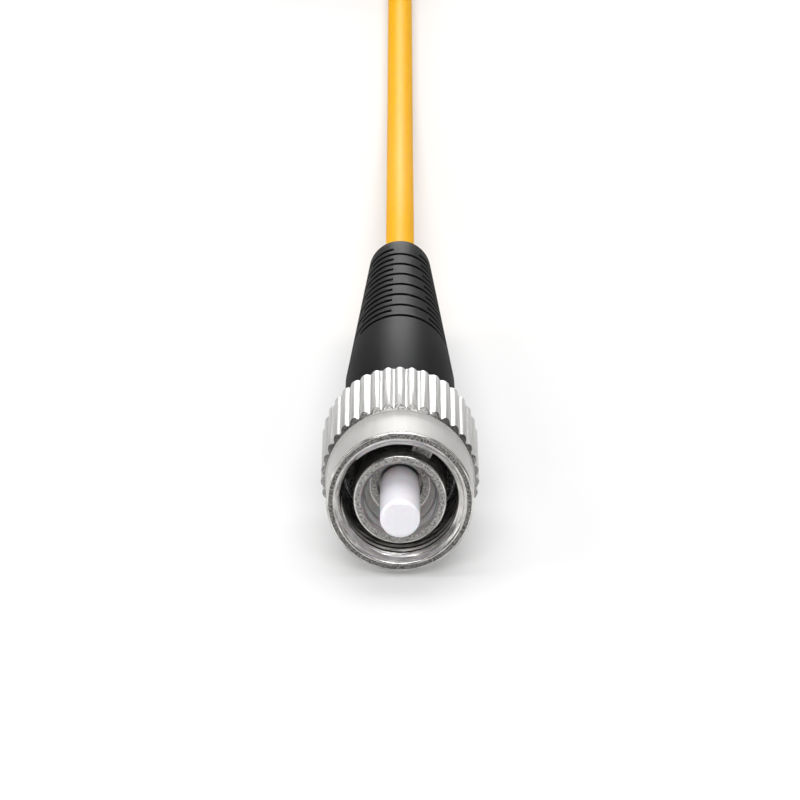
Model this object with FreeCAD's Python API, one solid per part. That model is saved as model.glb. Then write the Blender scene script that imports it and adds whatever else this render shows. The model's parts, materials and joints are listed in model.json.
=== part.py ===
"""A fibre patch cord with a threaded, keyed connector on each end.

Millimetres. A connector is built along its own axis: the station along the axis is counted from the front
face of the coupling nut, positive towards the boot, and every section is turned about that axis. The near
connector lies along Y with its ferrule towards -Y and its nut on the floor, z = 0. The origin is on the floor
under the middle of the near connector.
"""
import FreeCAD
import Part
import math
import os

V = FreeCAD.Vector

# Ferrule and the fibre in it
FERRULE_R = 1.25
FERRULE_TIP = -3.2
FERRULE_TIP_CHAMFER = 0.2
FERRULE_HEAD_END = 3.2
FERRULE_SHANK_R = 1.05
FERRULE_END = 7.5
FIBRE_HOLE_R = 0.063
FIBRE_R = 0.0625
BUFFER_R = 0.45
BUFFER_START = 7.6
FUNNEL_LENGTH = 0.9

# Flange that holds the ferrule
CUP_R = 2.22
CUP_LIP_R = 2.17
CUP_RIM = 2.0
CUP_FLOOR = 3.1
CUP_FLOOR_R = 1.92
CUP_HOLE_R = 1.415
CUP_HOLE_END = 3.9
SHOULDER_R = 2.45
SHOULDER_FRONT = 4.6
SHOULDER_END = 5.8
TAIL_R = 1.55
TAIL_END = 9.6
TAIL_BORE_R = 0.5

# Spring between the flange and the rear body
SPRING_WIRE = 0.45
SPRING_MEAN_R = 1.975
SPRING_TURNS = 4.5
SPRING_ARCS_PER_TURN = 8
SPRING_GAP = 0.01

# Plug body with its alignment key
BARREL_R = 2.925
BARREL_FRONT = 0.4
BARREL_EDGE = 0.12
MOUTH_R = 2.47
MOUTH_DEPTH = 0.35
BORE_R = 2.275
SPRING_BORE_R = 2.5
COLLAR_R = 3.45
COLLAR_FRONT = 5.6
COLLAR_END = 6.8
WAIST_R = 3.0
BODY_END = 11.7
KEY_TOP_R = 3.45
KEY_WIDTH = 1.3
KEY_FRONT = 1.7
KEY_TURN = 27.0

# Coupling nut, M8 x 0.75
NUT_LENGTH = 11.8
RIM_R = 4.625
RIM_EDGE = 0.15
KNURL_R = 5.0
KNURL_ROOT_R = 4.8
KNURL_FLANK_R = 4.875
KNURL_FLANK_SHARE = 0.34
KNURL_START = 3.9
KNURL_EDGE = 0.27
KNURL_EDGE_LENGTH = 0.47
KNURL_REAR_EDGE = 0.25
KNURL_COUNT = 39
THREAD_MINOR_R = 3.6
NUT_MOUTH_R = 4.1
RING_GROOVE_R = 3.87
RING_GROOVE_START = 6.9
RING_GROOVE_END = 8.0
REAR_LIP_R = 3.67
REAR_LIP_END = 8.8
REAR_BORE_R = 3.87

# Split ring that keeps the nut on the body
RING_IN_R = 3.08
RING_OUT_R = 3.8
RING_START = 6.95
RING_END = 7.95
RING_SLIT = 1.2

# Rear body: spigot in the plug body, flange, and post for the yarn
SPIGOT_START = 9.7
SPIGOT_BORE_R = 1.7
FLANGE_R = 3.3
FLANGE_START = 11.9
FLANGE_END = 12.9
FUNNEL_START = 11.6
FUNNEL_END = 12.6
POST_R = 1.8
POST_BORE_R = 0.75
POST_END = 21.0

# Yarn and crimp sleeve
YARN_START = 13.4
YARN_R = 1.95
CRIMP_R = 2.3
CRIMP_NECK_START = 21.2
CRIMP_NECK_END = 22.0
CRIMP_NECK_R = 1.45
CRIMP_END = 28.0

# Boot, a straight cone with two rows of slots
BOOT_START = FLANGE_END
BOOT_R = 3.6
BOOT_TAPER_STATION = 22.5
BOOT_END = 48.0
BOOT_END_R = 2.13
BOOT_END_EDGE = 0.35
BOOT_CLEARANCE = 0.02
SLOT_FIRST = 27.4
SLOT_PITCH = 2.77
SLOT_COUNT = 7
SLOT_WIDTH = 0.5
SLOT_DEPTH = 0.75
SLOT_SPAN = 133.0
BOOT_TURN = 13.0

# Cord and where its jacket starts inside the crimp sleeve
CORD_R = 1.0
JACKET_START = 22.0

# Where the near connector lies: its nut rests on two ridges, whose tops are arcs about points inside the knurl
RIDGE_PITCH = 2 * math.pi / KNURL_COUNT
FLANK_DEPTH = KNURL_R - KNURL_FLANK_R * math.cos(KNURL_FLANK_SHARE * RIDGE_PITCH)
RIDGE_CENTRE_R = (KNURL_R ** 2 - KNURL_FLANK_R ** 2) / (2 * FLANK_DEPTH)
AXIS_HEIGHT = RIDGE_CENTRE_R * math.cos(RIDGE_PITCH / 2) + KNURL_R - RIDGE_CENTRE_R
NEAR_MIDDLE = (FERRULE_TIP + BOOT_END) / 2

# Hank: lanes side by side in two layers, on the thickness of its tie
TIE_THICKNESS = 0.4
TIE_WIDTH = 8.0
HANK_X = -6.0
HANK_NEAR_FOLD = 162.0
HANK_RUN = 35.4
HANK_LANE_R = (10.0, 8.0, 6.0)
HANK_LAYERS = 2
HANK_EDGE = 0.9
HANK_TOP = TIE_THICKNESS + HANK_LAYERS * 2 * CORD_R
HANK_FAR_FOLD = HANK_NEAR_FOLD + HANK_RUN
TIE_STATION = HANK_NEAR_FOLD + HANK_RUN / 2
TIE_ROOM = 0.02
TIE_SIDE_RISE = 0.3
TIE_OVER_PASS = 0.25

# Last pass of the cord over the hank, and where the far connector lies
PASS_HEIGHT = HANK_TOP + CORD_R
PASS_LIFT = 0.1
FAR_BOOT_STATION = HANK_FAR_FOLD + 22.5

# The cord's route where it isn't in the hank: x, station behind the near nut's face, height
RUN_ROUTE = [
    (0.0, BOOT_END, AXIS_HEIGHT),
    (0.0, 64.0, AXIS_HEIGHT),
    (0.0, 94.0, CORD_R),
    (0.0, HANK_NEAR_FOLD - 14.0, CORD_R),
    (4.0, HANK_NEAR_FOLD + 1.0, TIE_THICKNESS + CORD_R),
]
TAIL_ROUTE = [
    (4.0, HANK_NEAR_FOLD + 2.0, PASS_HEIGHT),
    (3.4, TIE_STATION, PASS_HEIGHT + PASS_LIFT),
    (0.8, HANK_FAR_FOLD - 0.5, PASS_HEIGHT + PASS_LIFT),
    (0.0, HANK_FAR_FOLD + 13.5, AXIS_HEIGHT),
    (0.0, FAR_BOOT_STATION, AXIS_HEIGHT),
]

# Share of a straight run that a bend may use, and how far a cutter stands past what it cuts
BEND_SHARE = 0.45
CUT_MARGIN = 1.0


def turned(profile, angle=360.0):
    """Solid turned about the connector's axis from (radius, station) corners."""
    corners = [V(r, station, 0) for r, station in profile]
    face = Part.Face(Part.makePolygon(corners + corners[:1]))
    return face.revolve(V(0, 0, 0), V(0, 1, 0), angle)


def about_axis(shape, angle):
    """The shape turned about the connector's axis, clockwise as seen from the front."""
    shape.rotate(V(0, 0, 0), V(0, 1, 0), angle)
    return shape


def ring_edges(shape, radius, station):
    """The shape's circular edges of this radius at this station."""
    def fits(edge):
        curve = edge.Curve
        return (
            isinstance(curve, Part.Circle)
            and abs(curve.Radius - radius) < 1e-4
            and abs(curve.Center.y - station) < 1e-4
        )
    return [edge for edge in shape.Edges if fits(edge)]


def ferrule():
    """White ceramic ferrule: polished head, reduced shank for the flange, funnel behind the fibre hole."""
    return turned([
        (FIBRE_HOLE_R, FERRULE_TIP),
        (FERRULE_R - FERRULE_TIP_CHAMFER, FERRULE_TIP),
        (FERRULE_R, FERRULE_TIP + FERRULE_TIP_CHAMFER),
        (FERRULE_R, FERRULE_HEAD_END),
        (FERRULE_SHANK_R, FERRULE_HEAD_END),
        (FERRULE_SHANK_R, FERRULE_END),
        (BUFFER_R, FERRULE_END),
        (FIBRE_HOLE_R, FERRULE_END - FUNNEL_LENGTH),
    ])


def ferrule_flange():
    """Turned metal cup round the ferrule, with the shoulder that the spring pushes on."""
    return turned([
        (CUP_LIP_R, CUP_RIM),
        (CUP_R, CUP_RIM),
        (CUP_R, SHOULDER_FRONT),
        (SHOULDER_R, SHOULDER_FRONT),
        (SHOULDER_R, SHOULDER_END),
        (TAIL_R, SHOULDER_END),
        (TAIL_R, TAIL_END),
        (TAIL_BORE_R, TAIL_END),
        (TAIL_BORE_R, FERRULE_END),
        (FERRULE_SHANK_R, FERRULE_END),
        (FERRULE_SHANK_R, CUP_HOLE_END),
        (CUP_HOLE_R, CUP_HOLE_END),
        (CUP_HOLE_R, CUP_FLOOR),
        (CUP_FLOOR_R, CUP_FLOOR),
    ])


def fibre():
    """Buffered fibre, stripped to the glass where it goes through the ferrule."""
    return turned([
        (0, FERRULE_TIP),
        (FIBRE_R, FERRULE_TIP),
        (FIBRE_R, BUFFER_START),
        (BUFFER_R, BUFFER_START),
        (BUFFER_R, JACKET_START),
        (0, JACKET_START),
    ])


def ferrule_spring():
    """Coil spring between the flange's shoulder and the rear body's spigot, swept along short arcs."""
    start = SHOULDER_END + SPRING_WIRE / 2 + SPRING_GAP
    height = SPIGOT_START - SHOULDER_END - SPRING_WIRE - 2 * SPRING_GAP

    def on_coil(turns):
        angle = 2 * math.pi * turns
        rise = start + height * turns / SPRING_TURNS
        return V(SPRING_MEAN_R * math.cos(angle), rise, SPRING_MEAN_R * math.sin(angle))

    step = 1.0 / SPRING_ARCS_PER_TURN
    arcs = []
    for number in range(round(SPRING_TURNS * SPRING_ARCS_PER_TURN)):
        at = number * step
        arcs.append(Part.Arc(on_coil(at), on_coil(at + step / 2), on_coil(at + step)).toShape())
    along = V(0, height / SPRING_TURNS, 2 * math.pi * SPRING_MEAN_R)
    section = Part.Wire(Part.makeCircle(SPRING_WIRE / 2, on_coil(0), along))
    return Part.Wire(arcs).makePipeShell([section], True, True)


def plug_body():
    """Barrel round the ferrule, collar that stops the nut, waist that the nut slides on, and the key."""
    barrel = turned([
        (MOUTH_R, BARREL_FRONT),
        (BARREL_R - BARREL_EDGE, BARREL_FRONT),
        (BARREL_R, BARREL_FRONT + BARREL_EDGE),
        (BARREL_R, COLLAR_FRONT),
        (COLLAR_R, COLLAR_FRONT),
        (COLLAR_R, COLLAR_END),
        (WAIST_R, COLLAR_END),
        (WAIST_R, BODY_END),
        (SPRING_BORE_R, BODY_END),
        (SPRING_BORE_R, SHOULDER_FRONT),
        (BORE_R, SHOULDER_FRONT),
        (BORE_R, BARREL_FRONT + MOUTH_DEPTH),
    ])
    root_r = (BORE_R + BARREL_R) / 2
    key = Part.makeBox(
        KEY_WIDTH, COLLAR_FRONT - KEY_FRONT, KEY_TOP_R - root_r, V(-KEY_WIDTH / 2, KEY_FRONT, root_r)
    )
    return barrel.fuse(about_axis(key, KEY_TURN)).removeSplitter()


def knurl_outline():
    """Closed wire of rounded ridges and narrower round valleys, one ridge at the top."""
    pitch = 360.0 / KNURL_COUNT

    def at(radius, angle):
        return V(radius * math.sin(math.radians(angle)), 0, radius * math.cos(math.radians(angle)))

    edges = []
    for number in range(KNURL_COUNT):
        ridge = number * pitch
        flank = KNURL_FLANK_SHARE * pitch
        before, after = at(KNURL_FLANK_R, ridge - flank), at(KNURL_FLANK_R, ridge + flank)
        following = at(KNURL_FLANK_R, ridge + pitch - flank)
        edges.append(Part.Arc(before, at(KNURL_R, ridge), after).toShape())
        edges.append(Part.Arc(after, at(KNURL_ROOT_R, ridge + pitch / 2), following).toShape())
    return Part.Wire(edges)


def coupling_nut():
    """Knurled nut with a plain front collar, threaded mouth, ring groove and rear counterbore."""
    knurl = Part.Face(knurl_outline()).extrude(V(0, NUT_LENGTH - KNURL_START, 0))
    knurl.translate(V(0, KNURL_START, 0))
    envelope = turned([
        (0, KNURL_START),
        (KNURL_R - KNURL_EDGE, KNURL_START),
        (KNURL_R + KNURL_EDGE, KNURL_START + 2 * KNURL_EDGE_LENGTH),
        (KNURL_R + KNURL_EDGE, NUT_LENGTH - KNURL_REAR_EDGE - KNURL_EDGE),
        (KNURL_R - KNURL_REAR_EDGE, NUT_LENGTH),
        (0, NUT_LENGTH),
    ])
    collar = turned([(0, 0), (RIM_R, 0), (RIM_R, KNURL_START), (0, KNURL_START)])
    collar = collar.makeFillet(RIM_EDGE, ring_edges(collar, RIM_R, 0))
    chamfer = NUT_MOUTH_R - THREAD_MINOR_R
    bore = turned([
        (0, -CUT_MARGIN),
        (NUT_MOUTH_R + CUT_MARGIN, -CUT_MARGIN),
        (THREAD_MINOR_R, chamfer),
        (THREAD_MINOR_R, RING_GROOVE_START),
        (RING_GROOVE_R, RING_GROOVE_START),
        (RING_GROOVE_R, RING_GROOVE_END),
        (REAR_LIP_R, RING_GROOVE_END),
        (REAR_LIP_R, REAR_LIP_END),
        (REAR_BORE_R, REAR_LIP_END),
        (REAR_BORE_R, NUT_LENGTH + CUT_MARGIN),
        (0, NUT_LENGTH + CUT_MARGIN),
    ])
    return knurl.common(envelope).fuse(collar).removeSplitter().cut(bore)


def nut_retaining_ring():
    """Split ring in the nut's groove, behind the body's collar."""
    ring = turned([
        (RING_IN_R, RING_START), (RING_OUT_R, RING_START), (RING_OUT_R, RING_END), (RING_IN_R, RING_END)
    ])
    length = RING_END - RING_START + 2 * CUT_MARGIN
    corner = V(-RING_SLIT / 2, RING_START - CUT_MARGIN, -RING_OUT_R)
    slit = Part.makeBox(RING_SLIT, length, RING_OUT_R, corner)
    return ring.cut(slit)


def rear_body():
    """Spigot that seats the spring, flange behind the plug body, and the post that the yarn is crimped on."""
    return turned([
        (SPIGOT_BORE_R, SPIGOT_START),
        (SPRING_BORE_R, SPIGOT_START),
        (SPRING_BORE_R, FLANGE_START),
        (FLANGE_R, FLANGE_START),
        (FLANGE_R, FLANGE_END),
        (POST_R, FLANGE_END),
        (POST_R, POST_END),
        (POST_BORE_R, POST_END),
        (POST_BORE_R, FUNNEL_END),
        (SPIGOT_BORE_R, FUNNEL_START),
    ])


def aramid_yarn():
    """Strength yarn spread into a thin skirt over the post."""
    return turned([(POST_R, YARN_START), (YARN_R, YARN_START), (YARN_R, POST_END), (POST_R, POST_END)])


def crimp_sleeve():
    """Stepped tube crimped over the yarn in front and over the jacket behind."""
    neck_wall = CRIMP_NECK_R - CORD_R
    return turned([
        (YARN_R, YARN_START),
        (CRIMP_R, YARN_START),
        (CRIMP_R, CRIMP_NECK_START),
        (CRIMP_NECK_R, CRIMP_NECK_END),
        (CRIMP_NECK_R, CRIMP_END),
        (CORD_R, CRIMP_END),
        (CORD_R, CRIMP_NECK_END - neck_wall / 2),
        (YARN_R, POST_END),
    ])


def boot_radius(station):
    """Outer radius of the boot's cone at a station."""
    share = (station - BOOT_TAPER_STATION) / (BOOT_END - BOOT_TAPER_STATION)
    return BOOT_R + share * (BOOT_END_R - BOOT_R)


def boot_slot(station, middle):
    """Cutter for one slot, its middle at an angle from the top."""
    low, high = station - SLOT_WIDTH / 2, station + SLOT_WIDTH / 2
    floor_r = boot_radius(station) - SLOT_DEPTH
    clear_r = BOOT_R + CUT_MARGIN
    sector = turned([(floor_r, low), (clear_r, low), (clear_r, high), (floor_r, high)], SLOT_SPAN)
    return about_axis(sector, middle - 90.0 - SLOT_SPAN / 2)


def boot():
    """Tapered rubber boot. Slots at top and bottom alternate with slots at the sides."""
    crimp_room = CRIMP_R + BOOT_CLEARANCE
    neck_room = CRIMP_NECK_R + BOOT_CLEARANCE
    cord_room = CORD_R + BOOT_CLEARANCE
    body = turned([
        (crimp_room, BOOT_START),
        (BOOT_R, BOOT_START),
        (BOOT_R, BOOT_TAPER_STATION),
        (BOOT_END_R, BOOT_END),
        (cord_room, BOOT_END),
        (cord_room, CRIMP_END + BOOT_CLEARANCE),
        (neck_room, CRIMP_END + BOOT_CLEARANCE),
        (neck_room, CRIMP_NECK_END + BOOT_CLEARANCE),
        (crimp_room, CRIMP_NECK_START + BOOT_CLEARANCE),
    ])
    body = body.makeFillet(BOOT_END_EDGE, ring_edges(body, BOOT_END_R, BOOT_END))
    slots = []
    for number in range(SLOT_COUNT):
        station = SLOT_FIRST + number * SLOT_PITCH
        slots += [boot_slot(station, BOOT_TURN), boot_slot(station, BOOT_TURN + 180.0)]
        between = station + SLOT_PITCH / 2
        slots += [boot_slot(between, BOOT_TURN + 90.0), boot_slot(between, BOOT_TURN + 270.0)]
    return body.cut(Part.makeCompound(slots))


def lay_near(shape):
    """A connector piece where the near connector lies, facing -Y."""
    shape.translate(V(0, -NEAR_MIDDLE, AXIS_HEIGHT))
    return shape


def lay_far(shape):
    """A connector piece where the far connector lies, facing +Y."""
    shape.rotate(V(0, 0, 0), V(0, 0, 1), 180)
    shape.translate(V(0, FAR_BOOT_STATION + BOOT_END - NEAR_MIDDLE, AXIS_HEIGHT))
    return shape


def on_floor(point):
    """A route or hank point as a vector."""
    x, station, height = point
    return V(x, station - NEAR_MIDDLE, height)


def rounded_path(points):
    """Straight runs joined by tangent arcs, each arc as large as its two runs allow, and the radii."""
    edges, radii = [], []
    here = points[0]
    for before, corner, after in zip(points, points[1:], points[2:]):
        back, ahead = before - corner, after - corner
        turn = math.pi - back.getAngle(ahead)
        reach = BEND_SHARE * min(back.Length, ahead.Length)
        radii.append(reach / math.tan(turn / 2))
        enter = corner + back.normalize() * reach
        leave = corner + ahead.normalize() * reach
        inward = (back + ahead).normalize()
        middle = corner + inward * radii[-1] * (1 / math.cos(turn / 2) - 1)
        edges += [Part.LineSegment(here, enter).toShape(), Part.Arc(enter, middle, leave).toShape()]
        here = leave
    edges.append(Part.LineSegment(here, points[-1]).toShape())
    return Part.Wire(edges), radii


def cord_tube(route, lead_at_start=None, lead_at_end=None):
    """Cord along a route. A lead carries the first or last run straight on to its end inside a boot."""
    wire, radii = rounded_path([on_floor(point) for point in route])
    edges = list(wire.Edges)
    if lead_at_start:
        edges[0] = Part.LineSegment(on_floor(lead_at_start), edges[0].Vertexes[-1].Point).toShape()
    if lead_at_end:
        edges[-1] = Part.LineSegment(edges[-1].Vertexes[0].Point, on_floor(lead_at_end)).toShape()
    path = Part.Wire(edges)
    start = edges[0]
    section = Part.Wire(Part.makeCircle(CORD_R, start.Vertexes[0].Point, start.tangentAt(start.FirstParameter)))
    tube = path.makePipeShell([section], True, True)
    print("cord radii", [round(r) for r in radii], "length", round(wire.Length, 2))
    print("cord volume", round(tube.Volume, 3), "against", round(math.pi * CORD_R ** 2 * path.Length, 3))
    return tube


def racetrack(radius, bottom, top):
    """Solid with two straight sides and two half-round folds, as wide as its folds."""
    left, right = HANK_X - radius, HANK_X + radius
    near, far = HANK_NEAR_FOLD, HANK_FAR_FOLD
    corners = [on_floor((x, s, bottom)) for x, s in ((right, near), (right, far), (left, far), (left, near))]
    tips = [on_floor((HANK_X, far + radius, bottom)), on_floor((HANK_X, near - radius, bottom))]
    edges = [
        Part.LineSegment(corners[0], corners[1]).toShape(),
        Part.Arc(corners[1], tips[0], corners[2]).toShape(),
        Part.LineSegment(corners[2], corners[3]).toShape(),
        Part.Arc(corners[3], tips[1], corners[0]).toShape(),
    ]
    return Part.Face(Part.Wire(edges)).extrude(V(0, 0, top - bottom))


def cord_hank():
    """Outer shape of the folded cord, a flat ring with rounded edges."""
    outer_r, inner_r = max(HANK_LANE_R) + CORD_R, min(HANK_LANE_R) - CORD_R
    below, above = TIE_THICKNESS - CUT_MARGIN, HANK_TOP + CUT_MARGIN
    ring = racetrack(outer_r, TIE_THICKNESS, HANK_TOP).cut(racetrack(inner_r, below, above))
    flat = [edge for edge in ring.Edges if edge.BoundBox.ZLength < 1e-6]
    return ring.makeFillet(HANK_EDGE, flat)


def hank_tie():
    """Strap round both sides of the hank and over the cord's last pass."""
    half_width = max(HANK_LANE_R) + CORD_R + TIE_ROOM
    left, right = HANK_X - half_width, HANK_X + half_width
    pass_x = TAIL_ROUTE[1][0]
    pass_top = TAIL_ROUTE[1][2] + CORD_R + TIE_OVER_PASS
    side_top = HANK_TOP + TIE_SIDE_RISE
    outline = [
        (left, TIE_THICKNESS),
        (right, TIE_THICKNESS),
        (right, side_top),
        (pass_x + CORD_R, pass_top),
        (pass_x - CORD_R, pass_top),
        (left, side_top),
    ]
    start = TIE_STATION - TIE_WIDTH / 2
    corners = [on_floor((x, start, z)) for x, z in outline]
    inside = Part.Face(Part.makePolygon(corners + corners[:1]))
    outside = inside.makeOffset2D(TIE_THICKNESS)
    along = V(0, TIE_WIDTH, 0)
    return outside.extrude(along).cut(inside.extrude(along))


CONNECTOR_PIECES = {
    "ferrule": ferrule,
    "ferrule_flange": ferrule_flange,
    "ferrule_spring": ferrule_spring,
    "fibre": fibre,
    "plug_body": plug_body,
    "coupling_nut": coupling_nut,
    "nut_retaining_ring": nut_retaining_ring,
    "rear_body": rear_body,
    "aramid_yarn": aramid_yarn,
    "crimp_sleeve": crimp_sleeve,
    "boot": boot,
}


def build():
    """Every piece of the patch cord, by node name."""
    pieces = {}
    for end, lay in (("near", lay_near), ("far", lay_far)):
        for name, make in CONNECTOR_PIECES.items():
            pieces[f"{end}_{name}"] = lay(make())
    hank_block = racetrack(max(HANK_LANE_R) + CORD_R, -CORD_R, HANK_TOP)
    far_jacket = FAR_BOOT_STATION + BOOT_END - JACKET_START
    run = cord_tube(RUN_ROUTE, lead_at_start=(0.0, JACKET_START, AXIS_HEIGHT))
    tail = cord_tube(TAIL_ROUTE, lead_at_end=(0.0, far_jacket, AXIS_HEIGHT))
    pieces["cord_run"] = run.cut(hank_block)
    pieces["cord_tail"] = tail.cut(hank_block)
    pieces["cord_hank"] = cord_hank()
    pieces["hank_tie"] = hank_tie()
    return pieces


os.makedirs("parts", exist_ok=True)
for node, shape in build().items():
    solids = shape.Solids
    print(node, len(solids), "solid", "valid" if shape.isValid() else "NOT VALID", round(shape.Volume, 3))
    (solids[0] if len(solids) == 1 else shape).exportStep(f"parts/{node}.step")
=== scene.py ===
"""Looks of a fibre patch cord: a keyed, threaded connector on each end and the yellow cord between them.

A connector is worked out in millimetres along its own axis. A station is counted from the front face of its
coupling nut towards its boot, and an angle clockwise from the top as seen from its front. A seat turns both
into points of the row frame, in metres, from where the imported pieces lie.
"""

from __future__ import annotations

import json
import logging
import math
from abc import ABC, abstractmethod
from collections.abc import Iterator, Sequence
from dataclasses import dataclass
from enum import Enum, IntEnum
from typing import Any, ClassVar

import bmesh
import bpy
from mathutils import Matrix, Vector

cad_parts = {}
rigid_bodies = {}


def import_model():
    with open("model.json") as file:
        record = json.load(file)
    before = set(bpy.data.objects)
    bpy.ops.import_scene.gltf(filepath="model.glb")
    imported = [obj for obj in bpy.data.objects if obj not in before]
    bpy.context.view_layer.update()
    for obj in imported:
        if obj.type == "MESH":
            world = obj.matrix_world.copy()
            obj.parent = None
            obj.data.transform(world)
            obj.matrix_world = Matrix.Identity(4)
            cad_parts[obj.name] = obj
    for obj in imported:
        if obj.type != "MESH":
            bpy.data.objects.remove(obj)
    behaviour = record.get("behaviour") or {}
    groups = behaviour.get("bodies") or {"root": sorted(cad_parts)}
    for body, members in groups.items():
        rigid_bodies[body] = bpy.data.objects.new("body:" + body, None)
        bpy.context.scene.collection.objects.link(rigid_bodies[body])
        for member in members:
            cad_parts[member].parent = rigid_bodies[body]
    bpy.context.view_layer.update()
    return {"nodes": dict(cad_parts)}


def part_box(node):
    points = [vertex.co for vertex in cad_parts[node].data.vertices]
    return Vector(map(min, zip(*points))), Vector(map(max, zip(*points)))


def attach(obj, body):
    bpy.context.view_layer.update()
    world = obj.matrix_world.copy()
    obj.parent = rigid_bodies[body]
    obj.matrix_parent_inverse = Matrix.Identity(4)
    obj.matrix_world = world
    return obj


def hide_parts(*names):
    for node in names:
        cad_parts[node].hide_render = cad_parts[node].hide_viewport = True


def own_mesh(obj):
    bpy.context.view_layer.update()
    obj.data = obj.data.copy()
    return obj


LOG = logging.getLogger("fibre_patch_cord")
ROOT_BODY = "cord_set"
MM = 0.001
TURN = 2 * math.pi
QUARTER_TURN = 90.0
HALF_TURN = 180.0
WHITE = (1.0, 1.0, 1.0, 1.0)
# Rounded edges: faces across a turned one, a bevel's profile, and the angle from which an edge stays sharp
EDGE_STEPS = 4
ROUND_PROFILE = 0.5
SHARP_ANGLE = math.radians(32)
SAME_PLACE = 1e-8
# Numbers of a Mix node's colour sockets
MIX_SHADE, MIX_COLOUR, MIX_RESULT = 6, 7, 2
# A grain's noise, and the part of its range that is stretched to a full height
NOISE_DETAIL = 3.0
NOISE_ROUGHNESS = 0.6
NOISE_LOW, NOISE_HIGH = 0.3, 0.7
# Phase in radians that a Wave node gives to a unit of length
WAVE_PHASE = 20

Pair = tuple[float, float]
Point = tuple[float, float, float]


def linear(colour: str) -> tuple[float, float, float, float]:
    """Turn an sRGB colour into the linear one that a shader takes, by the standard's own curve.

    Args:
        colour: the colour as "#RRGGBB".

    Returns:
        Linear red, green and blue, and full opacity.
    """
    channels = [int(colour[start:start + 2], 16) / 255 for start in (1, 3, 5)]
    straight = [c / 12.92 if c <= 0.04045 else ((c + 0.055) / 1.055) ** 2.4 for c in channels]
    return straight[0], straight[1], straight[2], 1.0


def add_node(
    tree: bpy.types.NodeTree, kind: str, inputs: dict[str | int, Any], **settings: Any
) -> bpy.types.Node:
    """Add a shader node with its settings, values and links.

    Args:
        tree: the material's or world's node tree.
        kind: the node's type name.
        inputs: value, or output socket to link, for each input by name or number.
        **settings: the node's own properties.

    Returns:
        The new node.
    """
    node = tree.nodes.new(kind)
    for key, value in settings.items():
        setattr(node, key, value)
    for key, value in inputs.items():
        if isinstance(value, bpy.types.NodeSocket):
            tree.links.new(value, node.inputs[key])
        else:
            node.inputs[key].default_value = value
    return node


@dataclass(frozen=True)
class Finish:
    """A solid material with one fine grain, which shades its colour, breaks its gloss and lifts its surface.

    Lengths are in millimetres. The grain's stretch says how many times longer it is along X, Y and Z.
    """

    name: str
    colour: str
    shade: str
    roughness: Pair
    grain: float
    depth: float
    stretch: Point = (1.0, 1.0, 1.0)
    metallic: float = 0.0
    ior: float = 1.5
    specular: float = 0.5
    scatter: float = 0.0
    scatter_depth: float = 0.3

    def material(self) -> bpy.types.Material:
        """Build the material.

        Returns:
            A material with its node tree ready.
        """
        made = bpy.data.materials.new(self.name)
        made.use_nodes = True
        tree = made.node_tree
        surface = tree.nodes["Principled BSDF"]
        surface.inputs["Metallic"].default_value = self.metallic
        surface.inputs["IOR"].default_value = self.ior
        surface.inputs["Specular IOR Level"].default_value = self.specular
        surface.inputs["Subsurface Weight"].default_value = self.scatter
        surface.inputs["Subsurface Scale"].default_value = self.scatter_depth * MM
        grain = self.grain_height(tree)
        toned = add_node(
            tree,
            "ShaderNodeMix",
            {"Factor": grain, MIX_SHADE: linear(self.shade), MIX_COLOUR: linear(self.colour)},
            data_type="RGBA",
        )
        gloss = add_node(
            tree,
            "ShaderNodeMapRange",
            {"Value": grain, "To Min": self.roughness[0], "To Max": self.roughness[1]},
        )
        bump = add_node(tree, "ShaderNodeBump", {"Height": grain, "Distance": self.depth * MM})
        tree.links.new(toned.outputs[MIX_RESULT], surface.inputs["Base Color"])
        tree.links.new(gloss.outputs["Result"], surface.inputs["Roughness"])
        tree.links.new(bump.outputs["Normal"], surface.inputs["Normal"])
        return made

    def grain_height(self, tree: bpy.types.NodeTree) -> bpy.types.NodeSocket:
        """Add the grain, as a height from 0 to 1.

        Args:
            tree: the material's node tree.

        Returns:
            The socket that gives the height.
        """
        place = add_node(tree, "ShaderNodeTexCoord", {})
        scale = [1 / (self.grain * MM * longer) for longer in self.stretch]
        spread = add_node(tree, "ShaderNodeMapping", {"Vector": place.outputs["Object"], "Scale": scale})
        noise = add_node(
            tree,
            "ShaderNodeTexNoise",
            {
                "Vector": spread.outputs["Vector"],
                "Scale": 1.0,
                "Detail": NOISE_DETAIL,
                "Roughness": NOISE_ROUGHNESS,
            },
        )
        height = add_node(
            tree,
            "ShaderNodeMapRange",
            {"Value": noise.outputs["Fac"], "From Min": NOISE_LOW, "From Max": NOISE_HIGH},
        )
        return height.outputs["Result"]


@dataclass(frozen=True)
class WovenStrap(Finish):
    """A finish whose grain is a plain weave, with its threads along X and Y, a little uneven."""

    thread: float = 0.5
    unevenness: float = 1.5
    uneven_detail: float = 2.0
    uneven_scale: float = 1.5

    def grain_height(self, tree: bpy.types.NodeTree) -> bpy.types.NodeSocket:
        """Add the weave, as a height from 0 to 1.

        Args:
            tree: the material's node tree.

        Returns:
            The socket that gives the height.
        """
        place = add_node(tree, "ShaderNodeTexCoord", {})
        threads = []
        for direction in ("X", "Y"):
            wave = add_node(
                tree,
                "ShaderNodeTexWave",
                {
                    "Vector": place.outputs["Object"],
                    "Scale": TURN / WAVE_PHASE / (self.thread * MM),
                    "Distortion": self.unevenness,
                    "Detail": self.uneven_detail,
                    "Detail Scale": self.uneven_scale,
                },
                bands_direction=direction,
            )
            threads.append(wave.outputs["Fac"])
        weave = add_node(tree, "ShaderNodeMath", {0: threads[0], 1: threads[1]}, operation="MULTIPLY")
        return weave.outputs["Value"]


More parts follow.
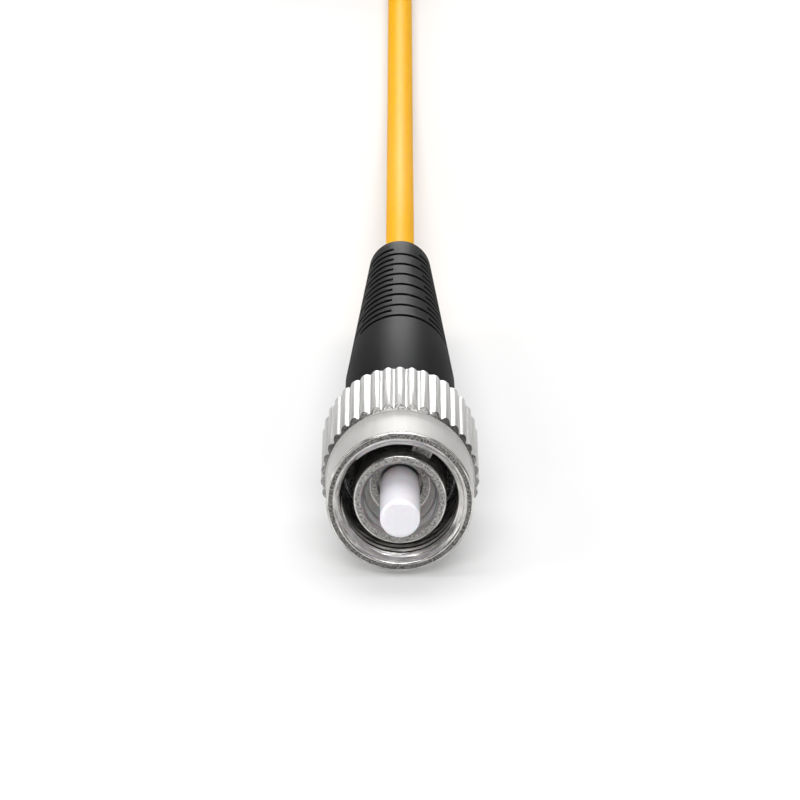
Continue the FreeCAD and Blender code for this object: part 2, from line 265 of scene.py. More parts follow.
def nickel(
    process: str,
    colour: str,
    shade: str,
    roughness: Pair,
    grain: float,
    depth: float,
    stretch: Point = (1.0, 1.0, 1.0),
) -> Finish:
    """Finish of nickel plate on brass, named for how the brass was worked."""
    name = f"nickel_plated_brass_{process}"
    return Finish(name, colour, shade, roughness, grain, depth, stretch, metallic=1.0)


class Look(Enum):
    """Every finish of the patch cord."""

    # Nickel plate on drawn and turned brass: a soft silvery satin, with faint drawn lines along the axis
    SATIN_NICKEL = nickel("satin", "#D0CFCD", "#C8C7C5", (0.56, 0.64), 0.12, 0.0008, (1, 30, 1))
    # The same plate on the rolled knurl: burnished by the rolls, so that its ridges and valleys show sharper
    ROLLED_NICKEL = nickel("rolled", "#CDCCCA", "#C3C2C0", (0.38, 0.46), 0.12, 0.0008, (1, 30, 1))
    # The same plate on the chamfer in front of the knurl: streaky and bright under a light; its dark colour
    # is a painted dark reflection
    CHAMFER_NICKEL_PAINTED_DARK_REFLECTION = nickel("chamfered", "#A9A7A5", "#343332", (0.12, 0.22), 0.12, 0.01)
    # The same plate on faced-off ends, with bright specks drawn as coarse as they need to show; its dark
    # colour is painted: a painted dark reflection on the nut's rim, and painted shade on the barrel's collar
    # inside the nut
    FACED_NICKEL_PAINTED_DARK = nickel("faced", "#9E9C9A", "#181716", (0.18, 0.34), 0.14, 0.04)
    # The same plate on a bead-blasted face: mid grey with light and dark specks, drawn as coarse as they show
    BLASTED_NICKEL = nickel("bead_blasted", "#BDBBB8", "#6B6967", (0.22, 0.40), 0.14, 0.03)
    # The same plate in the cup and the bore round the ferrule: matt, so that the mouth lights it, and paler
    # than the plate with painted light
    MATT_NICKEL_PAINTED_LIGHT = nickel("matt", "#FAF9F7", "#E8E6E3", (0.46, 0.54), 0.12, 0.0008)
    # The same plate on turned faces that the nut covers: dark grey with painted shade, with the cutter's
    # lines round the axis
    TURNED_NICKEL_PAINTED_SHADE = nickel("turned", "#8E8C8A", "#787674", (0.24, 0.34), 0.12, 0.004, (12, 1, 12))
    # The same plate on clean-cut chamfers and threads: bright, close to a mirror, with finer cutter's lines
    CUT_NICKEL = nickel("clean_cut", "#E6E4E1", "#8E8C8A", (0.14, 0.22), 0.10, 0.005, (12, 1, 12))
    # Polished zirconia ceramic: dense white with a trace of violet, a hard gloss and a faint inner glow
    ZIRCONIA = Finish(
        "zirconia_ceramic_ground_polished", "#F3F1F7", "#EFEDF4", (0.16, 0.22), 0.35, 0.0006,
        ior=2.1, scatter=0.35, scatter_depth=0.4,
    )
    # Moulded thermoplastic rubber: near black, with a soft wide gloss from the mould's fine texture
    BLACK_RUBBER = Finish(
        "thermoplastic_rubber_moulded_black", "#151516", "#101011", (0.46, 0.54), 0.14, 0.004, specular=0.014
    )
    # Extruded PVC jacket: warm yellow, half gloss, with faint drawn lines along its length
    YELLOW_JACKET = Finish(
        "pvc_jacket_extruded_yellow", "#EFB018", "#E8A610", (0.46, 0.54), 0.22, 0.004, (1, 14, 1),
        ior=1.52, specular=0.013, scatter=0.1, scatter_depth=0.5,
    )
    # Drawn spring wire: grey, bright along its drawn lines
    SPRING_STEEL = Finish(
        "spring_steel_drawn", "#A8A8AB", "#8E8E92", (0.22, 0.32), 0.12, 0.003, metallic=1.0
    )
    # Plated copper alloy, crimped: dull silver with the press's marks
    CRIMP_ALLOY = Finish(
        "copper_alloy_plated_crimped", "#C9C2B4", "#AFA898", (0.30, 0.45), 0.5, 0.03, metallic=1.0
    )
    # Loose aramid yarn: straw yellow filaments along the cord
    ARAMID_YARN = Finish(
        "aramid_yarn_spread", "#D8B65C", "#B08A34", (0.50, 0.65), 0.08, 0.03, (1, 25, 1), ior=1.55
    )
    # Extruded tight buffer: milky white plastic over the glass
    FIBRE_BUFFER = Finish(
        "buffered_glass_fibre_extruded", "#ECEBE6", "#E0DFDA", (0.35, 0.45), 0.2, 0.003, (1, 10, 1),
        scatter=0.2,
    )
    # Woven nylon strap: matt black threads over and under each other
    WOVEN_STRAP = WovenStrap(
        "nylon_hook_and_loop_strap_woven", "#2B2B2E", "#121214", (0.75, 0.9), 0.5, 0.12, ior=1.53
    )


class Palette:
    """The materials of the patch cord, each made once, when it is first asked for."""

    def __init__(self) -> None:
        """Start with no material made."""
        self._made: dict[Look, bpy.types.Material] = {}

    def material(self, look: Look) -> bpy.types.Material:
        """Give a finish's material.

        Args:
            look: the finish.

        Returns:
            Its material.
        """
        if look not in self._made:
            self._made[look] = look.value.material()
        return self._made[look]


class End(Enum):
    """The two ends of the patch cord."""

    NEAR = "near"
    FAR = "far"


class Band(IntEnum):
    """Which of a turned piece's finishes a band of its section has.

    The fifth is the knurl on a nut, and on a barrel the collar that stops the nut.
    """

    OUTSIDE = 0
    FACE = 1
    BORE = 2
    CUT = 3
    KNURL = 4
    STOP = 4
    CHAMFER = 5


@dataclass(frozen=True)
class Seat:
    """Where a connector lies in the row frame, in metres."""

    end: End
    front: float
    backward: float
    height: float

    @classmethod
    def find(cls, end: End) -> Seat:
        """Read a connector's place from its packed nut and ferrule.

        Args:
            end: which connector.

        Returns:
            Its seat.
        """
        low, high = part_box(f"{end.value}_coupling_nut")
        below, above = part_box(f"{end.value}_ferrule")
        near = end is End.NEAR
        return cls(end, low.y if near else high.y, 1.0 if near else -1.0, (below.z + above.z) / 2)

    def name(self, piece: str) -> str:
        """Name of this connector's piece, node, body or joint."""
        return f"{self.end.value}_{piece}"

    def across(self, side: float, station: float, out: float, angle: float) -> Vector:
        """Place a point that stands to one side of a ray from the axis.

        Args:
            side: distance to the ray's clockwise side.
            station: distance behind the nut's face.
            out: distance along the ray.
            angle: the ray's angle.

        Returns:
            The point in the row frame.
        """
        x = out * math.sin(angle) + side * math.cos(angle)
        y = self.front + self.backward * station * MM
        z = out * math.cos(angle) - side * math.sin(angle)
        return Vector((self.backward * x * MM, y, self.height + z * MM))

    def point(self, radius: float, station: float, angle: float) -> Vector:
        """Point of the row frame at a radius, station and angle."""
        return self.across(0.0, station, radius, angle)


@dataclass(frozen=True)
class Corner:
    """A corner of a closed turned section, and the band that goes from it to the next corner.

    A corner with an edge is rounded, and its rounding may have a band of its own. Stops are stations of more
    rows along the band.
    """

    radius: float
    station: float
    band: Band = Band.OUTSIDE
    edge: float = 0.0
    edge_band: Band | None = None
    stops: tuple[float, ...] = ()


@dataclass(frozen=True)
class Row:
    """One ring of a turned mesh, and the band that follows it."""

    radius: float
    station: float
    band: Band


def section_rows(corners: Sequence[Corner]) -> Iterator[Row]:
    """Round a section's edged corners and add the stops of its bands.

    Args:
        corners: the section's corners, in order round it.

    Yields:
        The rows, in the same order.
    """
    for index, corner in enumerate(corners):
        before, after = corners[index - 1], corners[(index + 1) % len(corners)]
        here = Vector((corner.radius, corner.station))
        ahead = Vector((after.radius, after.station)) - here
        if corner.edge:
            back = Vector((before.radius, before.station)) - here
            start, end = here + back.normalized() * corner.edge, here + ahead.normalized() * corner.edge
            for step in range(EDGE_STEPS + 1):
                share = step / EDGE_STEPS
                spot = start.lerp(here, share).lerp(here.lerp(end, share), share)
                rounding = corner.edge_band is not None and step < EDGE_STEPS
                yield Row(spot.x, spot.y, corner.edge_band if rounding else corner.band)
        else:
            yield Row(here.x, here.y, corner.band)
        for stop in corner.stops:
            spot = here + ahead * ((stop - corner.station) / (after.station - corner.station))
            yield Row(spot.x, stop, corner.band)


def spaced(start: float, end: float, step: float) -> tuple[float, ...]:
    """Even stops between two stations.

    Args:
        start: first station, not a stop itself.
        end: last station, not a stop itself.
        step: largest distance between stops.

    Returns:
        The stops, in order from start to end.
    """
    count = math.ceil(abs(end - start) / step)
    return tuple(start + (end - start) * number / count for number in range(1, count))


def new_piece(name: str, mesh: bmesh.types.BMesh) -> bpy.types.Object:
    """Turn a finished bmesh into an object with smooth faces and sharp edges.

    Args:
        name: the object's name.
        mesh: the bmesh, which is freed.

    Returns:
        The object, linked into the scene.
    """
    for face in mesh.faces:
        face.smooth = True
    data = bpy.data.meshes.new(name)
    mesh.to_mesh(data)
    mesh.free()
    data.set_sharp_from_angle(angle=SHARP_ANGLE)
    piece = bpy.data.objects.new(name, data)
    bpy.context.scene.collection.objects.link(piece)
    return piece


def join_rings(
    mesh: bmesh.types.BMesh, ring: Sequence[bmesh.types.BMVert], following: Sequence[bmesh.types.BMVert]
) -> None:
    """Close the band between two rings of as many points."""
    for side in range(len(ring)):
        mesh.faces.new((ring[side - 1], ring[side], following[side], following[side - 1]))


def round_edges(
    mesh: bmesh.types.BMesh, edges: list[bmesh.types.BMEdge], width: float, steps: int
) -> None:
    """Round edges of a mesh over a width in millimetres, in a number of steps."""
    bmesh.ops.bevel(
        mesh, geom=edges, offset=width * MM, segments=steps, profile=ROUND_PROFILE, affect="EDGES"
    )


class Piece(ABC):
    """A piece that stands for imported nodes, with a finish for each of its bands."""

    slot: ClassVar[str]
    looks: ClassVar[tuple[Look, ...]]

    @abstractmethod
    def nodes(self) -> tuple[str, ...]:
        """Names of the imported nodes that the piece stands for."""

    @abstractmethod
    def build(self) -> bpy.types.Object:
        """Build the piece where it lies."""

    def carrier(self) -> str:
        """Name of the body that the piece rides on."""
        return ROOT_BODY

    def dress(self, piece: bpy.types.Object, palette: Palette) -> None:
        """Give the piece its materials, in the order of its bands."""
        for look in self.looks:
            piece.data.materials.append(palette.material(look))

    def make(self, palette: Palette) -> bpy.types.Object:
        """Build, dress and place the piece.

        Args:
            palette: the materials.

        Returns:
            The finished piece.
        """
        piece = self.build()
        self.dress(piece, palette)
        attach(piece, self.carrier())
        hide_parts(*self.nodes())
        LOG.info("%s stands for %s", piece.name, ", ".join(self.nodes()))
        return piece


@dataclass
class ConnectorPiece(Piece):
    """A piece of a connector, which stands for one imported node."""

    seat: Seat
    label: ClassVar[str]
    node: ClassVar[str]
    body: ClassVar[str] = ""

    def nodes(self) -> tuple[str, ...]:
        """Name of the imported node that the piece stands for."""
        return (self.seat.name(self.node),)

    def carrier(self) -> str:
        """Name of the body that the piece rides on."""
        return self.seat.name(self.body) if self.body else ROOT_BODY


@dataclass
class TurnedPiece(ConnectorPiece):
    """A piece of a connector that is turned from one closed section."""

    segments: int = 128

    @abstractmethod
    def section(self) -> list[Corner]:
        """Corners of the section, in order round it."""

    def shape(self, row: Row, angle: float) -> Pair:
        """Radius and station of a row's point at an angle: here the row's own."""
        return row.radius, row.station

    def turn(self) -> bmesh.types.BMesh:
        """Turn the section about the connector's axis.

        Returns:
            A closed bmesh with outward normals. A winding row joins the row that it meets after a full turn.
        """
        mesh = bmesh.new()
        rows = list(section_rows(self.section()))
        angles = [TURN * step / self.segments for step in range(self.segments + 1)]
        rings = []
        for row in rows:
            spots = [self.seat.point(*self.shape(row, angle), angle) for angle in angles]
            rings.append([mesh.verts.new(spot) for spot in spots])
        for row, ring, following in zip(rows, rings, rings[1:] + rings[:1]):
            for step in range(self.segments):
                face = mesh.faces.new((ring[step], ring[step + 1], following[step + 1], following[step]))
                face.material_index = row.band
        bmesh.ops.remove_doubles(mesh, verts=mesh.verts, dist=SAME_PLACE)
        bmesh.ops.holes_fill(mesh, edges=[edge for edge in mesh.edges if edge.is_boundary])
        bmesh.ops.recalc_face_normals(mesh, faces=mesh.faces)
        return mesh

    def build(self) -> bpy.types.Object:
        """Turn the piece where it lies."""
        return new_piece(self.seat.name(self.label), self.turn())


# Finishes of a barrel's and a flange's bands, the first with painted light and the third with painted shade
PLUG_LOOKS = (Look.MATT_NICKEL_PAINTED_LIGHT, Look.BLASTED_NICKEL, Look.TURNED_NICKEL_PAINTED_SHADE, Look.CUT_NICKEL)


@dataclass
class Ferrule(TurnedPiece):
    """White ceramic ferrule with a chamfered, polished tip and a reduced shank."""

    label = "ferrule_ceramic"
    node = "ferrule"
    slot = "zirconia"
    body = "ferrule_set"
    looks = (Look.ZIRCONIA,)
    radius: float = 1.25
    tip: float = -3.2
    tip_chamfer: float = 0.2
    tip_edge: float = 0.12
    head_end: float = 3.2
    shank_radius: float = 1.05
    end: float = 7.5
    hole_radius: float = 0.064
    funnel_radius: float = 0.46
    funnel_length: float = 0.9

    def section(self) -> list[Corner]:
        """Section of the ferrule, from the fibre's hole at its tip."""
        return [
            Corner(self.hole_radius, self.tip),
            Corner(self.radius - self.tip_chamfer, self.tip, edge=self.tip_edge),
            Corner(self.radius, self.tip + self.tip_chamfer, edge=self.tip_edge),
            Corner(self.radius, self.head_end),
            Corner(self.shank_radius, self.head_end),
            Corner(self.shank_radius, self.end),
            Corner(self.funnel_radius, self.end),
            Corner(self.hole_radius, self.end - self.funnel_length),
        ]


@dataclass
class FerruleFlange(TurnedPiece):
    """Metal cup round the ferrule, with the shoulder that the spring pushes on."""

    label = "flange_cup"
    node = "ferrule_flange"
    slot = "nickel_plate"
    body = "ferrule_set"
    looks = PLUG_LOOKS
    rim: float = 2.0
    lip_radius: float = 2.215
    cup_radius: float = 2.22
    shoulder_front: float = 4.6
    shoulder_radius: float = 2.45
    shoulder_end: float = 5.8
    tail_radius: float = 1.55
    tail_end: float = 9.6
    tail_bore: float = 0.5
    seat_end: float = 7.5
    seat_radius: float = 1.051
    hole_end: float = 3.9
    hole_radius: float = 1.415
    floor: float = 3.1
    floor_radius: float = 1.92
    edge: float = 0.06

    def section(self) -> list[Corner]:
        """Section of the flange, from the lip of its cup."""
        return [
            Corner(self.lip_radius, self.rim, Band.BORE),
            Corner(self.cup_radius, self.rim, Band.BORE),
            Corner(self.cup_radius, self.shoulder_front),
            Corner(self.shoulder_radius, self.shoulder_front, edge=self.edge),
            Corner(self.shoulder_radius, self.shoulder_end, edge=self.edge),
            Corner(self.tail_radius, self.shoulder_end),
            Corner(self.tail_radius, self.tail_end, edge=self.edge),
            Corner(self.tail_bore, self.tail_end, Band.BORE),
            Corner(self.tail_bore, self.seat_end, Band.BORE),
            Corner(self.seat_radius, self.seat_end, Band.BORE),
            Corner(self.seat_radius, self.hole_end, Band.BORE),
            Corner(self.hole_radius, self.hole_end, Band.BORE),
            Corner(self.hole_radius, self.floor, Band.FACE, self.edge),
            Corner(self.floor_radius, self.floor, edge=self.edge),
        ]


@dataclass
class FerruleSpring(ConnectorPiece):
    """Coil spring between the flange's shoulder and the rear body, which shortens as the ferrule goes in."""

    label = "coil_spring"
    node = "ferrule_spring"
    slot = "spring_steel"
    looks = (Look.SPRING_STEEL,)
    wire: float = 0.45
    mean_radius: float = 1.975
    turns: float = 4.5
    front: float = 5.8
    rear: float = 9.7
    travel: float = 1.2
    gap: float = 0.01
    steps_per_turn: int = 48
    wire_sides: int = 12

    def build(self) -> bpy.types.Object:
        """Sweep the wire along the coil and close its two ends."""
        mesh = bmesh.new()
        half = self.wire / 2
        first = self.front + half + self.gap
        rise = self.rear - self.front - self.wire - 2 * self.gap
        count = round(self.turns * self.steps_per_turn)
        rings = []
        for step in range(count + 1):
            angle = TURN * step / self.steps_per_turn
            station = first + rise * step / count
            ring = []
            for side in range(self.wire_sides):
                lean = TURN * side / self.wire_sides
                radius, along = self.mean_radius + half * math.cos(lean), station + half * math.sin(lean)
                ring.append(mesh.verts.new(self.seat.point(radius, along, angle)))
            rings.append(ring)
        for ring, following in zip(rings, rings[1:]):
            join_rings(mesh, ring, following)
        mesh.faces.new(rings[0])
        mesh.faces.new(rings[-1])
        bmesh.ops.recalc_face_normals(mesh, faces=mesh.faces)
        return new_piece(self.seat.name(self.label), mesh)

    def make(self, palette: Palette) -> bpy.types.Object:
        """Build, dress and place the spring, and give it a mesh of its own.

        Args:
            palette: the materials.

        Returns:
            The finished spring.
        """
        piece = super().make(palette)
        self.seat.name("ferrule_float")
        self.seat.point(0.0, self.rear, 0.0)
        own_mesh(piece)
        return piece


@dataclass
class PlugBody(TurnedPiece):
    """Barrel round the ferrule, with the collar that stops the nut and the alignment key."""

    label = "keyed_barrel"
    node = "plug_body"
    slot = "nickel_plate"
    # The fifth finish is painted shade, on the face of the collar deep inside the nut
    looks = (*PLUG_LOOKS, Look.FACED_NICKEL_PAINTED_DARK)
    front: float = 0.4
    barrel_radius: float = 2.925
    barrel_edge: float = 0.12
    mouth_radius: float = 2.47
    mouth_depth: float = 0.35
    mouth_edge: float = 0.03
    bore_radius: float = 2.275
    spring_bore: float = 2.5
    spring_bore_front: float = 4.6
    collar_radius: float = 3.45
    collar_front: float = 5.6
    collar_end: float = 6.8
    waist_radius: float = 3.0
    end: float = 11.7
    edge: float = 0.06
    key_width: float = 1.3
    key_top: float = 3.45
    key_front: float = 1.7
    key_angle: float = 27.0
    key_edge: float = 0.1
    key_edge_steps: int = 3

    def section(self) -> list[Corner]:
        """Section of the barrel, from the inner edge of its front face."""
        return [
            Corner(self.mouth_radius, self.front, Band.FACE, self.mouth_edge),
            Corner(self.barrel_radius, self.front, Band.BORE, self.barrel_edge, Band.CUT),
            Corner(self.barrel_radius, self.collar_front, Band.STOP),
            Corner(self.collar_radius, self.collar_front, Band.BORE, self.edge),
            Corner(self.collar_radius, self.collar_end, edge=self.edge),
            Corner(self.waist_radius, self.collar_end),
            Corner(self.waist_radius, self.end, edge=self.edge),
            Corner(self.spring_bore, self.end, Band.BORE),
            Corner(self.spring_bore, self.spring_bore_front, Band.BORE),
            Corner(self.bore_radius, self.spring_bore_front),
            Corner(self.bore_radius, self.front + self.mouth_depth, Band.CUT),
        ]

    def build(self) -> bpy.types.Object:
        """Turn the barrel and stand the key on it."""
        mesh = self.turn()
        self.add_key(mesh)
        return new_piece(self.seat.name(self.label), mesh)

    def add_key(self, mesh: bmesh.types.BMesh) -> None:
        """Add the key to the barrel's mesh, with its edges broken.

        Args:
            mesh: the barrel's bmesh.
        """
        root = (self.bore_radius + self.barrel_radius) / 2
        middle_out, height = (root + self.key_top) / 2, self.key_top - root
        middle_station, length = (self.key_front + self.collar_front) / 2, self.collar_front - self.key_front
        corners = bmesh.ops.create_cube(mesh, size=1.0)["verts"]
        for corner in corners:
            side, along, out = corner.co
            corner.co = self.seat.across(
                side * self.key_width,
                middle_station + along * length,
                middle_out + out * height,
                math.radians(self.key_angle),
            )
        edges = {edge for corner in corners for edge in corner.link_edges}
        # The key takes the face band's darker blasted finish as painted shade, where it stands inside the nut
        for face in {face for corner in corners for face in corner.link_faces}:
            face.material_index = Band.FACE
        round_edges(mesh, list(edges), self.key_edge, self.key_edge_steps)


@dataclass
class CouplingNut(TurnedPiece):
    """Knurled nut with a plain front collar and a threaded mouth."""

    label = "knurled_nut"
    node = "coupling_nut"
    slot = "nickel_plate"
    body = "nut"
    looks = (
        Look.SATIN_NICKEL,
        # Painted dark reflection on the rim's face
        Look.FACED_NICKEL_PAINTED_DARK,
        Look.CUT_NICKEL,
        Look.CUT_NICKEL,
        Look.ROLLED_NICKEL,
        # Painted dark reflection on the knurl's front chamfer
        Look.CHAMFER_NICKEL_PAINTED_DARK_REFLECTION,
    )
    length: float = 11.8
    rim_radius: float = 4.625
    rim_edge: float = 0.15
    mouth_radius: float = 4.1
    mouth_edge: float = 0.1
    knurl_radius: float = 5.0
    knurl_root: float = 4.8
    knurl_flank: float = 4.875
    flank_share: float = 0.34
    knurl_count: int = 39
    segments: int = 12 * knurl_count
    knurl_start: float = 3.9
    knurl_edge: float = 0.27
    knurl_edge_length: float = 0.47
    edge_step: float = 0.04
    rear_edge: float = 0.25
    thread_minor: float = 3.68
    thread_major: float = 4.0
    thread_pitch: float = 0.75
    thread_crest: float = 0.28
    thread_root: float = 0.1
    thread_turns: int = 7
    turns_ahead: int = 1
    run_in: float = 0.12
    run_in_share: float = 0.01
    groove_radius: float = 3.87
    groove_start: float = 6.9
    groove_end: float = 8.0
    groove_edge: float = 0.08
    lip_radius: float = 3.67
    lip_end: float = 8.8

    @property
    def thread_start(self) -> float:
        """Station where the mouth's chamfer ends and the thread starts."""
        return self.mouth_radius - self.thread_minor

    def section(self) -> list[Corner]:
        """Section of the nut, from the edge of its mouth."""
        full_start, full_end = self.knurl_start + self.knurl_edge_length, self.length - self.rear_edge
        front_stops = spaced(self.knurl_start, full_start, self.edge_step)
        rear_stops = spaced(full_end, self.length, self.edge_step)
        return [
            Corner(self.mouth_radius, 0.0, Band.FACE, self.mouth_edge, Band.CUT),
            Corner(self.rim_radius, 0.0, Band.OUTSIDE, self.rim_edge, Band.CUT),
            Corner(self.rim_radius, self.knurl_start),
            Corner(self.knurl_radius - self.knurl_edge, self.knurl_start, Band.CHAMFER, stops=front_stops),
            Corner(self.knurl_radius, full_start, Band.KNURL),
            Corner(self.knurl_radius, full_end, Band.KNURL, stops=rear_stops),
            Corner(self.knurl_radius - self.rear_edge, self.length),
            Corner(self.groove_radius, self.length, Band.BORE, self.groove_edge),
            Corner(self.groove_radius, self.lip_end, Band.BORE),
            Corner(self.lip_radius, self.lip_end, Band.BORE),
            Corner(self.lip_radius, self.groove_end, Band.BORE),
            Corner(self.groove_radius, self.groove_end, Band.BORE),
            Corner(self.groove_radius, self.groove_start, Band.BORE),
            Corner(self.thread_minor, self.groove_start, Band.BORE),
            *self.thread_corners(),
            Corner(self.mouth_radius - self.run_in, self.run_in, Band.CUT),
        ]

    def thread_corners(self) -> Iterator[Corner]:
        """Corners of the thread's turns, with flat crests and roots, from the deepest turn to the first."""
        flank = (self.thread_pitch - self.thread_crest - self.thread_root) / 2
        for number in range(self.thread_turns, -self.turns_ahead - 1, -1):
            crest = self.thread_start + number * self.thread_pitch
            yield Corner(self.thread_minor, crest + self.thread_crest, Band.BORE)
            yield Corner(self.thread_minor, crest, Band.BORE)
            yield Corner(self.thread_major, crest - flank, Band.BORE)
            yield Corner(self.thread_major, crest - flank - self.thread_root, Band.BORE)

    def shape(self, row: Row, angle: float) -> Pair:
        """Place a point of the nut: the knurl is cut outside, and the thread winds inside.

        Args:
            row: the section's row.
            angle: the point's angle.

        Returns:
            The point's radius and station.
        """
        if row.radius > self.rim_radius:
            return min(row.radius, self.ridge_radius(angle)), row.station
        if row.band is Band.BORE and row.station < self.groove_start:
            return self.wind(row, angle)
        return row.radius, row.station

    def wind(self, row: Row, angle: float) -> Pair:
        """Place a point of the right-handed thread, which runs into the mouth's chamfer.

        Args:
            row: the thread's row. Rows ahead of the mouth are gathered at the chamfer's front.
            angle: the point's angle.

        Returns:
            The point's radius and station.
        """
        ahead = (self.turns_ahead + 1) * self.thread_pitch
        gathered = self.run_in + self.run_in_share * (row.station + ahead)
        station = max(gathered, row.station + self.thread_pitch * angle / TURN)
        return max(row.radius, self.mouth_radius - station), station

    def ridge_radius(self, angle: float) -> float:
        """Radius of the knurl, whose round ridges and narrower valleys are arcs that meet at the flanks.

        Args:
            angle: the point's angle. One ridge is at the top.

        Returns:
            The knurl's radius there.
        """
        pitch = TURN / self.knurl_count
        turned = angle / pitch
        off_ridge = abs(turned - round(turned)) * pitch
        flank = self.flank_share * pitch
        if off_ridge <= flank:
            return self.arc_radius(self.knurl_radius, off_ridge, flank)
        return self.arc_radius(self.knurl_root, pitch / 2 - off_ridge, pitch / 2 - flank)

    def arc_radius(self, top: float, off: float, flank: float) -> float:
        """Radius of a ridge's or valley's arc at an angle off its middle.

        Args:
            top: radius at the middle of the arc.
            off: angle off the middle.
            flank: angle off the middle where the arc ends, at the flank's radius.

        Returns:
            Distance from the nut's axis to the arc.
        """
        centre = (top ** 2 - self.knurl_flank ** 2) / (2 * (top - self.knurl_flank * math.cos(flank)))
        reach = math.sqrt((top - centre) ** 2 - (centre * math.sin(off)) ** 2)
        return centre * math.cos(off) + math.copysign(reach, top - centre)


@dataclass
class Boot(TurnedPiece):
    """Tapered rubber boot whose top and bottom slots alternate with slots at its sides."""

    label = "slotted_boot"
    node = "boot"
    slot = "boot_rubber"
    looks = (Look.BLACK_RUBBER,)
    segments: int = 288
    start: float = 12.9
    radius: float = 3.6
    taper_station: float = 22.5
    end: float = 48.0
    end_radius: float = 2.13
    end_edge: float = 0.35
    front_edge: float = 0.15
    cord_room: float = 1.02
    cord_edge: float = 0.08
    neck_room: float = 1.47
    neck_start: float = 22.02
    neck_end: float = 28.02
    crimp_room: float = 2.32
    crimp_end: float = 21.22
    slot_first: float = 27.4
    slot_pitch: float = 2.77
    slot_count: int = 7
    slot_width: float = 0.5
    slot_depth: float = 0.75
    slot_span: float = 133.0
    slot_wall: float = 0.04
    slot_lean: float = 13.0

    def section(self) -> list[Corner]:
        """Section of the boot, from the inner edge of its front."""
        return [
            Corner(self.crimp_room, self.start),
            Corner(self.radius, self.start, edge=self.front_edge),
            Corner(self.radius, self.taper_station, stops=tuple(self.slot_rows())),
            Corner(self.end_radius, self.end, edge=self.end_edge),
            Corner(self.cord_room, self.end, edge=self.cord_edge),
            Corner(self.cord_room, self.neck_end),
            Corner(self.neck_room, self.neck_end),
            Corner(self.neck_room, self.neck_start),
            Corner(self.crimp_room, self.crimp_end),
        ]

    def slot_middle(self, number: int) -> float:
        """Station of a slot's middle, counted over both the upright and the sideways slots."""
        return self.slot_first + number * self.slot_pitch / 2

    def slot_rows(self) -> Iterator[float]:
        """Stations of the rows at the walls of every slot, in order."""
        half = self.slot_width / 2
        for number in range(2 * self.slot_count):
            front, rear = self.slot_middle(number) - half, self.slot_middle(number) + half
            yield from (front - self.slot_wall, front, rear, rear + self.slot_wall)

    def shape(self, row: Row, angle: float) -> Pair:
        """Place a point of the boot, with the slots cut into its outside.

        Args:
            row: the section's row.
            angle: the point's angle.

        Returns:
            The point's radius and station.
        """
        number = round((row.station - self.slot_first) / (self.slot_pitch / 2))
        off = math.degrees(angle) - self.slot_lean - QUARTER_TURN * (number % 2)
        off = abs((off + QUARTER_TURN) % HALF_TURN - QUARTER_TURN)
        outside = 0 <= number < 2 * self.slot_count and row.radius > self.neck_room
        between_walls = abs(row.station - self.slot_middle(number)) < (self.slot_width + self.slot_wall) / 2
        if outside and between_walls and off <= self.slot_span / 2:
            return row.radius - self.slot_depth, row.station
        return row.radius, row.station


@dataclass
class PackedPieces:
    """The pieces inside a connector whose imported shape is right, and which only get their finish."""

    seat: Seat
    looks: ClassVar[dict[str, Look]] = {
        "nut_retaining_ring": Look.SPRING_STEEL,
        "rear_body": Look.SATIN_NICKEL,
        "aramid_yarn": Look.ARAMID_YARN,
        "crimp_sleeve": Look.CRIMP_ALLOY,
        "fibre": Look.FIBRE_BUFFER,
    }

    def dress(self, nodes: dict[str, bpy.types.Object], palette: Palette) -> list[bpy.types.Object]:
        """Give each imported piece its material.

        Args:
            nodes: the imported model's objects by name.
            palette: the materials.

        Returns:
            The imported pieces.
        """
        dressed = []
        for name, look in self.looks.items():
            piece = nodes[self.seat.name(name)]
            piece.data.materials.clear()
            piece.data.materials.append(palette.material(look))
            dressed.append(piece)
            LOG.info("%s: packed shape, dressed", piece.name)
        return dressed


@dataclass
class Connector:
    """One connector with all its pieces."""

    seat: Seat
    kinds: ClassVar[tuple[type[ConnectorPiece], ...]] = (
        Ferrule,
        FerruleFlange,
        FerruleSpring,
        PlugBody,
        CouplingNut,
        Boot,
    )

    def make(self, nodes: dict[str, bpy.types.Object], palette: Palette) -> list[bpy.types.Object]:
        """Make the connector.

        Args:
            nodes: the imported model's objects by name.
            palette: the materials.

        Returns:
            Every piece of the connector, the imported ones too.
        """
        pieces = [kind(self.seat).make(palette) for kind in self.kinds]
        return pieces + PackedPieces(self.seat).dress(nodes, palette)


